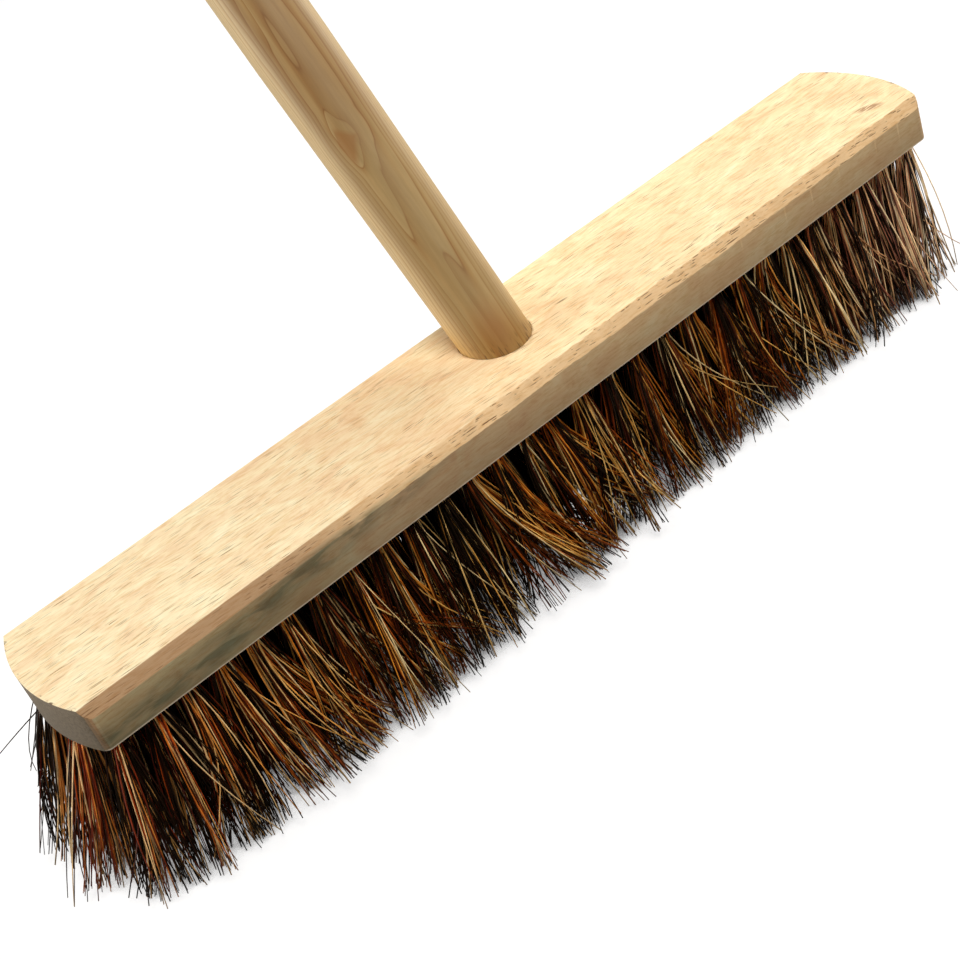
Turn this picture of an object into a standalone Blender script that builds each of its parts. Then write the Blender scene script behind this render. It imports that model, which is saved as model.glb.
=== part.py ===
"""Yard brush: a long wooden stock, a leaning wooden handle and five staggered rows of tufts.

Metres, +Z up. The bristle tips stand on z = 0 with the origin under the middle of the
stock. The stock runs along X, its front faces -Y, and the handle leans back to +Y.
"""

import math
import random

import bmesh
import bpy
from mathutils import Matrix, Vector

# Stock
stock_length = 0.381
stock_width = 0.0635
stock_thickness = 0.017
end_sagitta = 0.0072
corner_radius = 0.002
chamfer_across = 0.0028
chamfer_down = 0.004

# Handle
handle_length = 1.2
handle_diameter = 0.0286
handle_mouth_diameter = 0.0254
handle_taper_length = 0.119
handle_dome_height = 0.008
handle_lean = math.radians(32)
socket_off_centre = 0.0044
socket_set_back = 0.0035
socket_clearance = 0.0003

# Bristles
bristle_trim = 0.057
row_count = 5
row_tufts = 12
row_side_margin = 0.00775
row_end_margin = 0.0145
knot_diameter = 0.0064
knot_depth = 0.009
knot_clearance = 0.0003
knot_wood_wall = 0.0012
strands_per_tuft = 7
strand_inset_share = 0.17
strand_tip_share = 0.8
strand_bend_share = 0.36
strand_bend_height_share = 0.5
row_fan_share = 0.17
row_reach_share = 0.8
end_splay = 0.018

# Places of the pattern that the handle's foot takes up, as row and number in the row
places_under_handle = ((2, 6), (3, 7), (4, 6))

# One overrun for every cut
cut_overrun = 0.002

# Mesh fineness
handle_sides = 32
dome_rings = 4
corner_steps = 3
end_steps = 6
merge_distance = 0.00001
smooth_below = math.radians(35)

row_pitch = (stock_width - 2 * row_side_margin) / (row_count - 1)
tuft_pitch = (stock_length - 2 * row_end_margin) / (row_tufts - 1)
stock_bottom = bristle_trim
stock_top = bristle_trim + stock_thickness
mouth_centre = Vector((socket_off_centre, socket_set_back, stock_top))


def clear_scene():
    """Take away whatever objects the file opens with."""
    for thing in list(bpy.data.objects):
        bpy.data.objects.remove(thing, do_unlink=True)


def material(name, colour, roughness):
    """A plain Principled material with the piece's colour."""
    made = bpy.data.materials.new(name)
    made.use_nodes = True
    shader = made.node_tree.nodes["Principled BSDF"]
    shader.inputs["Base Color"].default_value = (*colour, 1)
    shader.inputs["Roughness"].default_value = roughness
    shader.inputs["Metallic"].default_value = 0
    made.diffuse_color = (*colour, 1)
    return made


def add_object(name, mesh_builder, look=None):
    """Turn a finished bmesh into a named object in the scene."""
    mesh = bpy.data.meshes.new(name)
    bmesh.ops.recalc_face_normals(mesh_builder, faces=mesh_builder.faces)
    mesh_builder.to_mesh(mesh)
    mesh_builder.free()
    made = bpy.data.objects.new(name, mesh)
    bpy.context.scene.collection.objects.link(made)
    if look:
        mesh.materials.append(look)
    return made


def as_cutter(made):
    """Keep a cutting body out of the model itself."""
    made.hide_render = True
    made.display_type = "WIRE"
    return made


def cut(target, cutter):
    """Take the cutter's shape out of the target."""
    step = target.modifiers.new("cut_" + cutter.name, "BOOLEAN")
    step.operation = "DIFFERENCE"
    step.solver = "EXACT"
    step.object = cutter


def half_length_at(y):
    """Half the stock's length at this y: a shallow round end with rounded corners."""
    half_width = stock_width / 2
    end_radius = (half_width**2 + end_sagitta**2) / (2 * end_sagitta)
    bow = end_radius - math.sqrt(end_radius**2 - y**2)
    into_corner = max(abs(y) - (half_width - corner_radius), 0)
    corner = corner_radius - math.sqrt(max(corner_radius**2 - into_corner**2, 0))
    return stock_length / 2 - bow - corner


def top_height_at(y):
    """Height of the stock's upper surface at this y, lower along both chamfered edges."""
    into_chamfer = max(abs(y) - (stock_width / 2 - chamfer_across), 0)
    return stock_top - chamfer_down * into_chamfer / chamfer_across


def stock_stations():
    """The y places where the stock's outline or top surface changes direction."""
    half_width = stock_width / 2
    flat_half = half_width - chamfer_across
    corner_start = half_width - corner_radius
    places = {flat_half * step / end_steps for step in range(end_steps + 1)}
    for step in range(corner_steps + 1):
        turn = math.pi / 2 * step / corner_steps
        places.add(corner_start + corner_radius * math.sin(turn))
    return sorted({-place for place in places} | places)


def build_stock():
    """The block of wood, with its socket and one blind hole for each tuft."""
    shape = bmesh.new()
    sections = []
    for y in stock_stations():
        reach = half_length_at(y)
        top = top_height_at(y)
        corners = ((-reach, stock_bottom), (reach, stock_bottom), (reach, top), (-reach, top))
        sections.append([shape.verts.new((x, y, z)) for x, z in corners])
    shape.faces.new(sections[0])
    shape.faces.new(sections[-1])
    for near, far in zip(sections, sections[1:]):
        for corner in range(4):
            after = (corner + 1) % 4
            shape.faces.new((near[corner], near[after], far[after], far[corner]))
    wood = material("stock_wood", (0.90, 0.72, 0.46), 0.62)
    stock = add_object("stock", shape, wood)
    cut(stock, build_socket_cutter())
    cut(stock, build_hole_cutter())
    return stock


def handle_radius_at(distance):
    """The handle's radius this far up from the socket's mouth, on the tapered stretch."""
    slope = (handle_diameter - handle_mouth_diameter) / 2 / handle_taper_length
    return handle_mouth_diameter / 2 + slope * min(distance, handle_taper_length)


def along_handle():
    """The turn and shift that lay a body made up +Z along the leaning handle."""
    return Matrix.Translation(mouth_centre) @ Matrix.Rotation(-handle_lean, 4, "X")


def depth_below_mouth():
    """How far down its axis the handle runs before all of it is under the stock."""
    return stock_thickness / math.cos(handle_lean) + handle_mouth_diameter * math.tan(handle_lean)


def build_socket_cutter():
    """The tapered drilling that the handle's foot is driven into, right through the stock."""
    shape = bmesh.new()
    below = depth_below_mouth() + cut_overrun
    above = handle_mouth_diameter * math.tan(handle_lean) + cut_overrun
    bmesh.ops.create_cone(
        shape,
        cap_ends=True,
        segments=handle_sides,
        radius1=handle_radius_at(-below) + socket_clearance,
        radius2=handle_radius_at(above) + socket_clearance,
        depth=below + above,
    )
    bmesh.ops.translate(shape, verts=shape.verts, vec=(0, 0, (above - below) / 2))
    bmesh.ops.transform(shape, matrix=along_handle(), verts=shape.verts)
    return as_cutter(add_object("socket_cutter", shape))


def build_handle():
    """The pole: a tapered foot cut flush with the stock's underside, and a domed top."""
    shape = bmesh.new()
    below = depth_below_mouth() + cut_overrun
    full = handle_diameter / 2
    dome_foot = handle_length - handle_dome_height
    profile = [(0, -below), (handle_radius_at(-below), -below)]
    profile += [(full, handle_taper_length), (full, dome_foot)]
    for ring in range(1, dome_rings):
        turn = math.pi / 2 * ring / dome_rings
        profile.append((full * math.cos(turn), dome_foot + handle_dome_height * math.sin(turn)))
    profile.append((0, handle_length))
    line = [shape.verts.new((radius, 0, height)) for radius, height in profile]
    edges = [shape.edges.new(pair) for pair in zip(line, line[1:])]
    bmesh.ops.spin(
        shape,
        geom=line + edges,
        cent=(0, 0, 0),
        axis=(0, 0, 1),
        angle=2 * math.pi,
        steps=handle_sides,
        use_merge=True,
    )
    bmesh.ops.remove_doubles(shape, verts=shape.verts, dist=merge_distance)
    bmesh.ops.transform(shape, matrix=along_handle(), verts=shape.verts)
    sliced = bmesh.ops.bisect_plane(
        shape,
        geom=list(shape.verts) + list(shape.edges) + list(shape.faces),
        plane_co=(0, 0, stock_bottom),
        plane_no=(0, 0, -1),
        clear_outer=True,
    )
    rim = [item for item in sliced["geom_cut"] if isinstance(item, bmesh.types.BMEdge)]
    bmesh.ops.contextual_create(shape, geom=rim)
    wood = material("handle_wood", (0.66, 0.45, 0.24), 0.5)
    handle = add_object("handle", shape, wood)
    handle.data.shade_smooth()
    handle.data.set_sharp_from_angle(angle=smooth_below)
    return handle


def beside_socket(x, y):
    """The x of a tuft's hole, moved along its row where the wall to the handle needs it.

    The handle's slice is an ellipse at the hole's mouth and another at its end, and the
    hole stays outside both of them, widened by its own radius and the wall of wood.
    """
    across = handle_mouth_diameter / 2
    room = knot_diameter / 2 + knot_wood_wall
    reach = abs(x - socket_off_centre)
    for below_top in (stock_thickness, stock_thickness - knot_depth):
        handle_y = socket_set_back - below_top * math.tan(handle_lean)
        share_y = (y - handle_y) / (across / math.cos(handle_lean) + room)
        reach = max(reach, (across + room) * math.sqrt(max(1 - share_y**2, 0)))
    return socket_off_centre + math.copysign(reach, x - socket_off_centre)


def tuft_places():
    """Row number, number in the row and place of every tuft, in staggered rows."""
    places = []
    for row in range(row_count):
        y = (row - (row_count - 1) / 2) * row_pitch
        count = row_tufts - row % 2
        for number in range(count):
            x = (number - (count - 1) / 2) * tuft_pitch
            if (row + 1, number + 1) not in places_under_handle:
                places.append((row + 1, number + 1, beside_socket(x, y), y))
    return places


def ring_point(radius, strand):
    """A corner of the knot's outline; the first strand lies between the first two."""
    turn = 2 * math.pi * (strand - 0.5) / strands_per_tuft
    return Vector((radius * math.cos(turn), radius * math.sin(turn), 0))


def build_hole_cutter():
    """One blind drilling for each knot, as a single cutting body."""
    shape = bmesh.new()
    radius = knot_diameter / 2 + knot_clearance
    low = stock_bottom - cut_overrun
    high = stock_bottom + knot_depth + knot_clearance
    for *_, x, y in tuft_places():
        rings = []
        for z in (low, high):
            centre = Vector((x, y, z))
            rings.append(
                [shape.verts.new(centre + ring_point(radius, k)) for k in range(strands_per_tuft)]
            )
        shape.faces.new(rings[0])
        shape.faces.new(rings[1])
        for k in range(strands_per_tuft):
            after = (k + 1) % strands_per_tuft
            shape.faces.new((rings[0][k], rings[0][after], rings[1][after], rings[1][k]))
    return as_cutter(add_object("hole_cutter", shape))


def tip_place(x, y, strand):
    """Where a strand's tip stands: on a ring about its knot, then fanned out with its row.

    The ring reaches half-way to the next tuft, so one strand beside the handle's foot
    stands on the origin.
    """
    turn = 2 * math.pi * strand / strands_per_tuft
    ring_x = x + tuft_pitch / 2 * math.cos(turn)
    ring_y = y + row_pitch * row_reach_share * math.sin(turn)
    splay = end_splay * (2 * ring_x / stock_length) ** 3
    return Vector((ring_x + splay, ring_y * (1 + row_fan_share), 0))


def build_tuft(name, x, y, look):
    """A knot of folded fibre with its strands, which fan out and end flat on z = 0."""
    shape = bmesh.new()
    radius = knot_diameter / 2
    mouth = Vector((x, y, stock_bottom))
    head = Vector((x, y, stock_bottom + knot_depth))
    sides = range(strands_per_tuft)
    low_ring = [shape.verts.new(mouth + ring_point(radius, k)) for k in sides]
    high_ring = [shape.verts.new(head + ring_point(radius, k)) for k in sides]
    middle = shape.verts.new(mouth)
    shape.faces.new(high_ring)
    for k in sides:
        after = (k + 1) % strands_per_tuft
        shape.faces.new((low_ring[k], high_ring[k], high_ring[after], low_ring[after]))
    sectors = [
        shape.faces.new((middle, low_ring[k], low_ring[(k + 1) % strands_per_tuft])) for k in sides
    ]
    bmesh.ops.inset_individual(shape, faces=sectors, thickness=radius * strand_inset_share)
    for k, root in enumerate(sectors):
        root_corners = [corner.co.copy() for corner in root.verts]
        centre = sum(root_corners, Vector()) / len(root_corners)
        tip = tip_place(x, y, k)
        face = root
        for fall_share, drift_share in ((strand_bend_height_share, strand_bend_share), (1, 1)):
            grown = bmesh.ops.extrude_discrete_faces(shape, faces=[face])
            face = grown["faces"][0]
            thinning = 1 - (1 - strand_tip_share) * fall_share
            for corner, start in zip(face.verts, root_corners):
                spot = centre + (start - centre) * thinning
                spot += (tip - centre) * drift_share
                spot.z = stock_bottom * (1 - fall_share)
                corner.co = spot
    bmesh.ops.recalc_face_normals(shape, faces=shape.faces)
    return add_object(name, shape, look)


def build_tufts():
    """Every tuft of mixed dark and red-brown fibre, each its own piece."""
    chance = random.Random(7)
    looks = [
        material("fibre_dark", (0.06, 0.03, 0.02), 0.5),
        material("fibre_brown", (0.14, 0.06, 0.03), 0.5),
        material("fibre_red_brown", (0.24, 0.09, 0.03), 0.5),
    ]
    for row, number, x, y in tuft_places():
        build_tuft(f"tuft_row_{row}_{number:02d}", x, y, chance.choice(looks))


clear_scene()
build_stock()
build_handle()
build_tufts()
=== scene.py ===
import math

import bpy
import numpy as np
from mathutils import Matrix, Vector


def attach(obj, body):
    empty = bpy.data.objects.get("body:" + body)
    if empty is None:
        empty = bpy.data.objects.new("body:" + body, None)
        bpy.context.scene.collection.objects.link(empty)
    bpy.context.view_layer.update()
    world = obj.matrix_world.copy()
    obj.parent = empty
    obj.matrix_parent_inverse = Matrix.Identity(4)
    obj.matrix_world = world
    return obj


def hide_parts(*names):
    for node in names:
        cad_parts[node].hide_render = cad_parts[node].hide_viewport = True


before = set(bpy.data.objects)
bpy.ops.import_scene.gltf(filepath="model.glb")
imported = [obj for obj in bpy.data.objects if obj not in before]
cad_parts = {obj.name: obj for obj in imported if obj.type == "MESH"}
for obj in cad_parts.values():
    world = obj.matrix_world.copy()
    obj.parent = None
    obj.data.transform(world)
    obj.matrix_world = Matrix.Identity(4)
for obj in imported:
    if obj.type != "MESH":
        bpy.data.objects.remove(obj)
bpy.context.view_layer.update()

# The stock: one block of rubberwood, planed all round. A plane has taken off both long
# upper edges by hand, so their width wanders, and the ends are sawn to a shallow bow.
# The pole's socket is drilled right through it, on the slant. Sizes are in metres.
stock_length = 0.381
stock_width = 0.0635
stock_bottom = 0.057
stock_top = 0.074
end_sagitta = 0.0072
corner_radius = 0.002
chamfer_across = 0.0028
chamfer_down = 0.004
chamfer_wander = 0.00026
arris_width = 0.0004
arris_angle = math.radians(28)
grain_slant = math.radians(-4)
mark_middle = (0.171, -0.0186, stock_top)
mark_slant = math.radians(-34)

handle_lean = math.radians(32)
handle_radius = 0.0143
mouth_radius = 0.0127
taper_length = 0.119
socket_clearance = 0.00015
drill_reach = (-0.034, 0.014)
mouth = Vector((0.0044, 0.0035, stock_top))


def grid_quads(rows, columns, closed):
    """Quads between neighbours on a grid of rows by columns; closed joins the last column to the first."""
    row = np.arange(rows - 1)[:, None]
    column = np.arange(columns if closed else columns - 1)[None, :]
    after = (column + 1) % columns
    here, above = row * columns, (row + 1) * columns
    quads = (here + column, here + after, above + after, above + column)
    return np.stack(quads, axis=-1).reshape(-1, 4)


def put_mesh(name, points, face_groups):
    """A new object from points (n, 3) and groups of faces, each group an array of (faces, corners)."""
    mesh = bpy.data.meshes.new(name)
    corners = np.concatenate([group.ravel() for group in face_groups])
    sides = np.concatenate([np.full(len(group), group.shape[1]) for group in face_groups])
    mesh.vertices.add(len(points))
    mesh.vertices.foreach_set("co", np.ascontiguousarray(points, dtype=np.float32).ravel())
    mesh.loops.add(len(corners))
    mesh.loops.foreach_set("vertex_index", corners.astype(np.int32))
    mesh.polygons.add(len(sides))
    mesh.polygons.foreach_set("loop_start", (np.cumsum(sides) - sides).astype(np.int32))
    mesh.update(calc_edges=True)
    mesh.validate()
    made = bpy.data.objects.new(name, mesh)
    bpy.context.scene.collection.objects.link(made)
    return made


def half_length_at(y):
    """Half the stock's length at y: an arc through the end's bow, less the rounding of the corner."""
    half_width = stock_width / 2
    radius = (half_width**2 + end_sagitta**2) / (2 * end_sagitta)
    into_corner = np.clip(np.abs(y) - (half_width - corner_radius), 0, corner_radius)
    corner = corner_radius - np.sqrt(corner_radius**2 - into_corner**2)
    return stock_length / 2 - (radius - np.sqrt(radius**2 - y**2)) - corner


def stock_faces():
    """The block as an upper and a lower sheet over the same plan, joined all round.

    The plan runs x = s times the half length at y, for s from -1 to 1. The upper sheet is
    flat, then falls in a straight line across each chamfer. The front chamfer's width and
    drop wander by a few waves and a little chance, but for its left third.
    """
    stations = 300
    chance = np.random.default_rng(5)
    s = np.linspace(-1, 1, stations)[:, None]
    x = s * stock_length / 2
    half_width = stock_width / 2
    wander = chamfer_wander * np.clip((x + 0.1) / 0.07, 0.1, 1)
    waves = np.sin(x / 0.0041 + 1) + 0.8 * np.sin(x / 0.0017) + 0.7 * chance.normal(size=x.shape)
    more = np.sin(x / 0.0083 + 4) + 0.8 * np.sin(x / 0.0027 + 2) + 0.5 * chance.normal(size=x.shape)
    front_across = chamfer_across + wander * waves
    front_down = chamfer_down + 0.5 * wander * more
    corner = half_width - corner_radius * (1 - np.sin(np.radians([0, 22.5, 45, 67.5, 90])))
    corner = np.broadcast_to(corner, (stations, 5))
    flat = front_across - half_width + np.linspace(0, 1, 27) * (stock_width - front_across - chamfer_across)
    y = np.concatenate([-corner[:, ::-1], flat, corner], axis=1)
    across = np.where(y < 0, front_across, chamfer_across)
    down = np.where(y < 0, front_down, chamfer_down)
    upper_z = stock_top - down * np.clip(np.abs(y) - (half_width - across), 0, None) / across
    plan_x = s * half_length_at(y)
    upper = np.stack([plan_x, y, upper_z], axis=-1)
    lower = np.stack([plan_x, y, np.full_like(y, stock_bottom)], axis=-1)
    columns = y.shape[1]
    sheet = grid_quads(stations, columns, closed=False)
    count = stations * columns
    rim = np.concatenate([
        np.arange(columns),
        np.arange(1, stations) * columns + columns - 1,
        (stations - 1) * columns + np.arange(columns - 2, -1, -1),
        np.arange(stations - 2, 0, -1) * columns,
    ])
    after = np.roll(rim, -1)
    wall = np.stack([rim, after, after + count, rim + count], axis=-1)
    return np.concatenate([upper.reshape(-1, 3), lower.reshape(-1, 3)]), [sheet[:, ::-1], sheet + count, wall]


def pole_frame():
    """The pole's own axes: two square to it, the first of them along X, and its run."""
    run = np.array([0, math.sin(handle_lean), math.cos(handle_lean)])
    side = np.array([1.0, 0, 0])
    return side, np.cross(run, side), run


def pole_radius(height):
    """The pole's radius at a height along it: a straight taper up to its full size."""
    return mouth_radius + (handle_radius - mouth_radius) * np.minimum(height, taper_length) / taper_length


def socket_faces():
    """The drill's path: the pole's taper, wider by the clearance, as a closed cone."""
    sides = 96
    heights = np.array(drill_reach)[:, None, None]
    turn = np.linspace(0, 2 * math.pi, sides, endpoint=False)[None, :, None]
    side, other, run = pole_frame()
    ring = side * np.cos(turn) + other * np.sin(turn)
    points = np.array(mouth) + run * heights + (pole_radius(heights) + socket_clearance) * ring
    caps = np.stack([np.arange(sides)[::-1], np.arange(sides) + sides])
    return points.reshape(-1, 3), [grid_quads(2, sides, closed=True), caps]


stock = put_mesh("rubberwood_stock", *stock_faces())
drill = put_mesh("socket_drill", *socket_faces())
bevel = stock.modifiers.new("worn_arris", "BEVEL")
bevel.width = arris_width
bevel.segments = 2
bevel.limit_method = "ANGLE"
bevel.angle_limit = arris_angle
socket = stock.modifiers.new("socket", "BOOLEAN")
socket.operation = "DIFFERENCE"
socket.solver = "EXACT"
socket.object = drill
finished = bpy.data.meshes.new_from_object(stock.evaluated_get(bpy.context.evaluated_depsgraph_get()))
stock.modifiers.clear()
stock.data = finished
bpy.data.objects.remove(drill, do_unlink=True)


def linear(hex_colour):
    """A colour written as sRGB hex, in linear light."""
    shares = np.array([int(hex_colour[place:place + 2], 16) for place in (1, 3, 5)]) / 255
    return (*np.where(shares <= 0.04045, shares / 12.92, ((shares + 0.055) / 1.055) ** 2.4), 1)


def add_node(tree, kind, settings=None, links=None, stops=()):
    """A new node. Settings are its properties or unlinked inputs, links are sources for its
    inputs, and stops are (place, colour or grey level) for a ramp, its two ends first."""
    node = tree.nodes.new(kind)
    for name, value in (settings or {}).items():
        if isinstance(name, str) and hasattr(node, name):
            setattr(node, name, value)
        else:
            node.inputs[name].default_value = value
    for name, source in (links or {}).items():
        tree.links.new(source, node.inputs[name])
    for number, (place, shade) in enumerate(stops):
        ramp = node.color_ramp.elements
        stop = ramp[number] if number < len(ramp) and number < 2 else ramp.new(place)
        stop.position = place
        stop.color = linear(shade) if isinstance(shade, str) else (shade, shade, shade, 1)
    return node


def new_look(name):
    """A new material, with its node tree and its shader."""
    made = bpy.data.materials.new(name)
    made.use_nodes = True
    return made, made.node_tree, made.node_tree.nodes["Principled BSDF"]


# Settings that several nodes share: a colour laid on as a tint, a product of two shares, a
# soft step, and cells that lie along the slanted grain
tint = {"data_type": "RGBA", "blend_type": "MULTIPLY"}
product = {"operation": "MULTIPLY"}
soft_step = {"interpolation_type": "SMOOTHSTEP"}
along_grain = {"vector_type": "TEXTURE", "Rotation": (0, 0, grain_slant)}


def planed_rubberwood():
    """Rubberwood, planed and left bare. It gives the eye cream wood with soft mottling, thin
    brown pore dashes 1 to 4 mm long that run a few degrees off the edge, a few brown marks
    near the right end, a rougher and pinker chamfer, darker end grain, and one blue-grey
    sap stain that climbs along the front face. Painted light is laid into its colour too: a
    paler, cooler left end of the top as painted glare, painted shade just left of the pole,
    on the chamfer's left third, on the front and back faces and deepening the end grain,
    and a painted highlight along the bottom arris."""
    made, tree, shader = new_look("planed_rubberwood")
    place = add_node(tree, "ShaderNodeTexCoord").outputs["Object"]
    facing = add_node(
        tree, "ShaderNodeSeparateXYZ",
        links={0: add_node(tree, "ShaderNodeNewGeometry").outputs["True Normal"]},
    )
    end_on = add_node(tree, "ShaderNodeMath", {"operation": "ABSOLUTE"}, {0: facing.outputs["X"]})
    side_on = add_node(tree, "ShaderNodeMath", {"operation": "ABSOLUTE"}, {0: facing.outputs["Y"]})
    end_mask = add_node(
        tree, "ShaderNodeValToRGB", links={0: end_on.outputs[0]}, stops=((0.55, 0.0), (0.8, 1.0)),
    )
    chamfer_mask = add_node(
        tree, "ShaderNodeValToRGB", links={0: side_on.outputs[0]},
        stops=((0.5, 0.0), (0.985, 0.0), (0.7, 1.0), (0.93, 1.0)),
    )

    coordinates = add_node(tree, "ShaderNodeSeparateXYZ", links={0: place})
    left_third = add_node(
        tree, "ShaderNodeMapRange",
        {**soft_step, "From Min": -0.115, "From Max": -0.06, "To Min": 1.0, "To Max": 0.0},
        {"Value": coordinates.outputs["X"]},
    )
    down_length = add_node(
        tree, "ShaderNodeMapRange", {"From Min": -0.19, "From Max": 0.03}, {"Value": coordinates.outputs["X"]},
    )

    # The grain's path: it wavers by a few degrees, in waves of about 40 mm
    waver_place = add_node(
        tree, "ShaderNodeMapping", {"vector_type": "TEXTURE", "Scale": (0.04, 0.018, 0.018)}, {"Vector": place},
    )
    waver = add_node(tree, "ShaderNodeTexNoise", {"Scale": 1, "Detail": 1}, {"Vector": waver_place.outputs[0]})
    shift = add_node(
        tree, "ShaderNodeVectorMath", {"operation": "MULTIPLY", 1: (0, 0.005, 0)}, {0: waver.outputs["Color"]},
    )
    path = add_node(tree, "ShaderNodeVectorMath", {"operation": "ADD"}, {0: place, 1: shift.outputs[0]})

    # Soft mottling of the top in cream and buff, in patches of 8 to 20 mm. Along its length
    # the top is paler and cooler at the left end, a painted glare, and darker just left of the
    # pole, painted shade of the pole's shadow. The chamfer has its own pink wood, browner on
    # its left third as painted shade
    mottle_place = add_node(
        tree, "ShaderNodeMapping", {**along_grain, "Scale": (0.017, 0.0085, 0.0085)},
        {"Vector": path.outputs[0]},
    )
    mottle = add_node(
        tree, "ShaderNodeTexNoise", {"Scale": 1, "Detail": 4, "Roughness": 0.62, "Distortion": 0.8},
        {"Vector": mottle_place.outputs[0]},
    )
    wood = add_node(
        tree, "ShaderNodeValToRGB", links={0: mottle.outputs[0]},
        stops=((0.3, "#EFC999"), (0.7, "#FDECC0"), (0.42, "#F6D6A6"), (0.5, "#F9DDAD"), (0.6, "#FBE4B5")),
    )
    # The chamfer's pink wood, browner on its left third as painted shade
    chamfer_wood_and_painted_shade = add_node(
        tree, "ShaderNodeMix", {"data_type": "RGBA", 6: linear("#ECC592"), 7: linear("#B69067")},
        {0: left_third.outputs[0]},
    )
    # Painted glare at the left end, and painted shade of the pole's shadow just left of the pole
    painted_glare_and_pole_shade = add_node(
        tree, "ShaderNodeValToRGB", links={0: down_length.outputs[0]},
        stops=((0.0, "#F2F7FF"), (1.0, "#FFFFFF"), (0.35, "#F0F5FD"), (0.7, "#E6E1E1")),
    )
    toned = add_node(
        tree, "ShaderNodeMix", {**tint, 0: 1.0}, {6: wood.outputs[0], 7: painted_glare_and_pole_shade.outputs[0]},
    )
    surface = add_node(
        tree, "ShaderNodeMix", {"data_type": "RGBA"},
        {0: chamfer_mask.outputs[0], 6: toned.outputs[2], 7: chamfer_wood_and_painted_shade.outputs[2]},
    )

    # Fine fibre lines, about 0.7 mm apart
    fibre_place = add_node(
        tree, "ShaderNodeMapping", {**along_grain, "Scale": (0.007, 0.0007, 0.0007)},
        {"Vector": path.outputs[0]},
    )
    fibre = add_node(
        tree, "ShaderNodeTexNoise", {"Scale": 1, "Detail": 4, "Roughness": 0.7},
        {"Vector": fibre_place.outputs[0]},
    )
    fibre_tone = add_node(
        tree, "ShaderNodeValToRGB", links={0: fibre.outputs[0]}, stops=((0.34, "#F1E4D2"), (0.54, "#FFFFFF")),
    )
    grained = add_node(
        tree, "ShaderNodeMix", {**tint, 0: 1.0},
        {6: surface.outputs[2], 7: fibre_tone.outputs[0]},
    )

    # Pores: thin dashes at the middle of stretched cells, in three cells of four, each of its
    # own size and depth. They crowd together in some bands, are dense on the torn chamfer,
    # less so on its left third, and are few on the planed front and back faces
    pore_place = add_node(
        tree, "ShaderNodeMapping", {**along_grain, "Scale": (0.0085, 0.00056, 0.00056)},
        {"Vector": path.outputs[0]},
    )
    pore = add_node(
        tree, "ShaderNodeTexVoronoi", {"Scale": 1, "Randomness": 1}, {"Vector": pore_place.outputs[0]},
    )
    pore_draw = add_node(tree, "ShaderNodeSeparateColor", links={0: pore.outputs["Color"]})
    pore_size = add_node(
        tree, "ShaderNodeMapRange", {"To Min": 0.75, "To Max": 1.7}, {"Value": pore_draw.outputs[1]},
    )
    pore_off = add_node(
        tree, "ShaderNodeMath", product,
        {0: pore.outputs["Distance"], 1: pore_size.outputs[0]},
    )
    pore_dash = add_node(
        tree, "ShaderNodeValToRGB", links={0: pore_off.outputs[0]}, stops=((0.22, 1.0), (0.38, 0.0)),
    )
    pore_pick = add_node(
        tree, "ShaderNodeMath", {"operation": "GREATER_THAN", 1: 0.25}, {0: pore_draw.outputs[0]},
    )
    crowd_place = add_node(
        tree, "ShaderNodeMapping", {**along_grain, "Scale": (0.02, 0.006, 0.006)},
        {"Vector": path.outputs[0]},
    )
    crowd = add_node(tree, "ShaderNodeTexNoise", {"Scale": 1, "Detail": 2}, {"Vector": crowd_place.outputs[0]})
    crowding = add_node(
        tree, "ShaderNodeValToRGB", links={0: crowd.outputs[0]}, stops=((0.36, 0.3), (0.6, 1.0)),
    )
    torn = add_node(tree, "ShaderNodeMix", {3: 0.45}, {0: left_third.outputs[0], 2: chamfer_mask.outputs[0]})
    crowded = add_node(
        tree, "ShaderNodeMath", {"operation": "MAXIMUM"}, {0: crowding.outputs[0], 1: torn.outputs[0]},
    )
    off_faces = add_node(
        tree, "ShaderNodeValToRGB", links={0: side_on.outputs[0]}, stops=((0.93, 1.0), (0.98, 0.15)),
    )
    pores = pore_dash
    for share in (pore_pick, crowded, off_faces):
        pores = add_node(
            tree, "ShaderNodeMath", product, {0: pores.outputs[0], 1: share.outputs[0]},
        )
    pore_strength = add_node(
        tree, "ShaderNodeMapRange", {"To Min": 0.45, "To Max": 1.0}, {"Value": pore_draw.outputs[2]},
    )
    pore_depth = add_node(
        tree, "ShaderNodeMath", product, {0: pores.outputs[0], 1: pore_strength.outputs[0]},
    )
    pored = add_node(
        tree, "ShaderNodeMix", {"data_type": "RGBA", 7: linear("#7D5832")},
        {0: pore_depth.outputs[0], 6: grained.outputs[2]},
    )

    # A few brown marks in the top, 13 mm long in all, near the right end
    mark_place = add_node(
        tree, "ShaderNodeMapping",
        {
            "vector_type": "TEXTURE", "Location": mark_middle, "Rotation": (0, 0, mark_slant),
            "Scale": (0.0065, 0.0028, 0.003),
        }, {"Vector": place},
    )
    mark = add_node(tree, "ShaderNodeVectorMath", {"operation": "LENGTH"}, {0: mark_place.outputs[0]})
    mark_reach = add_node(
        tree, "ShaderNodeValToRGB", links={0: mark.outputs["Value"]}, stops=((0.5, 0.9), (1.0, 0.0)),
    )
    mark_streaks = add_node(
        tree, "ShaderNodeValToRGB", links={0: fibre.outputs[0]}, stops=((0.5, 1.0), (0.6, 0.0)),
    )
    mark_share = add_node(
        tree, "ShaderNodeMath", product,
        {0: mark_reach.outputs[0], 1: mark_streaks.outputs[0]},
    )
    marked = add_node(
        tree, "ShaderNodeMix", {"data_type": "RGBA", 7: linear("#A87A50")},
        {0: mark_share.outputs[0], 6: pored.outputs[2]},
    )

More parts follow.
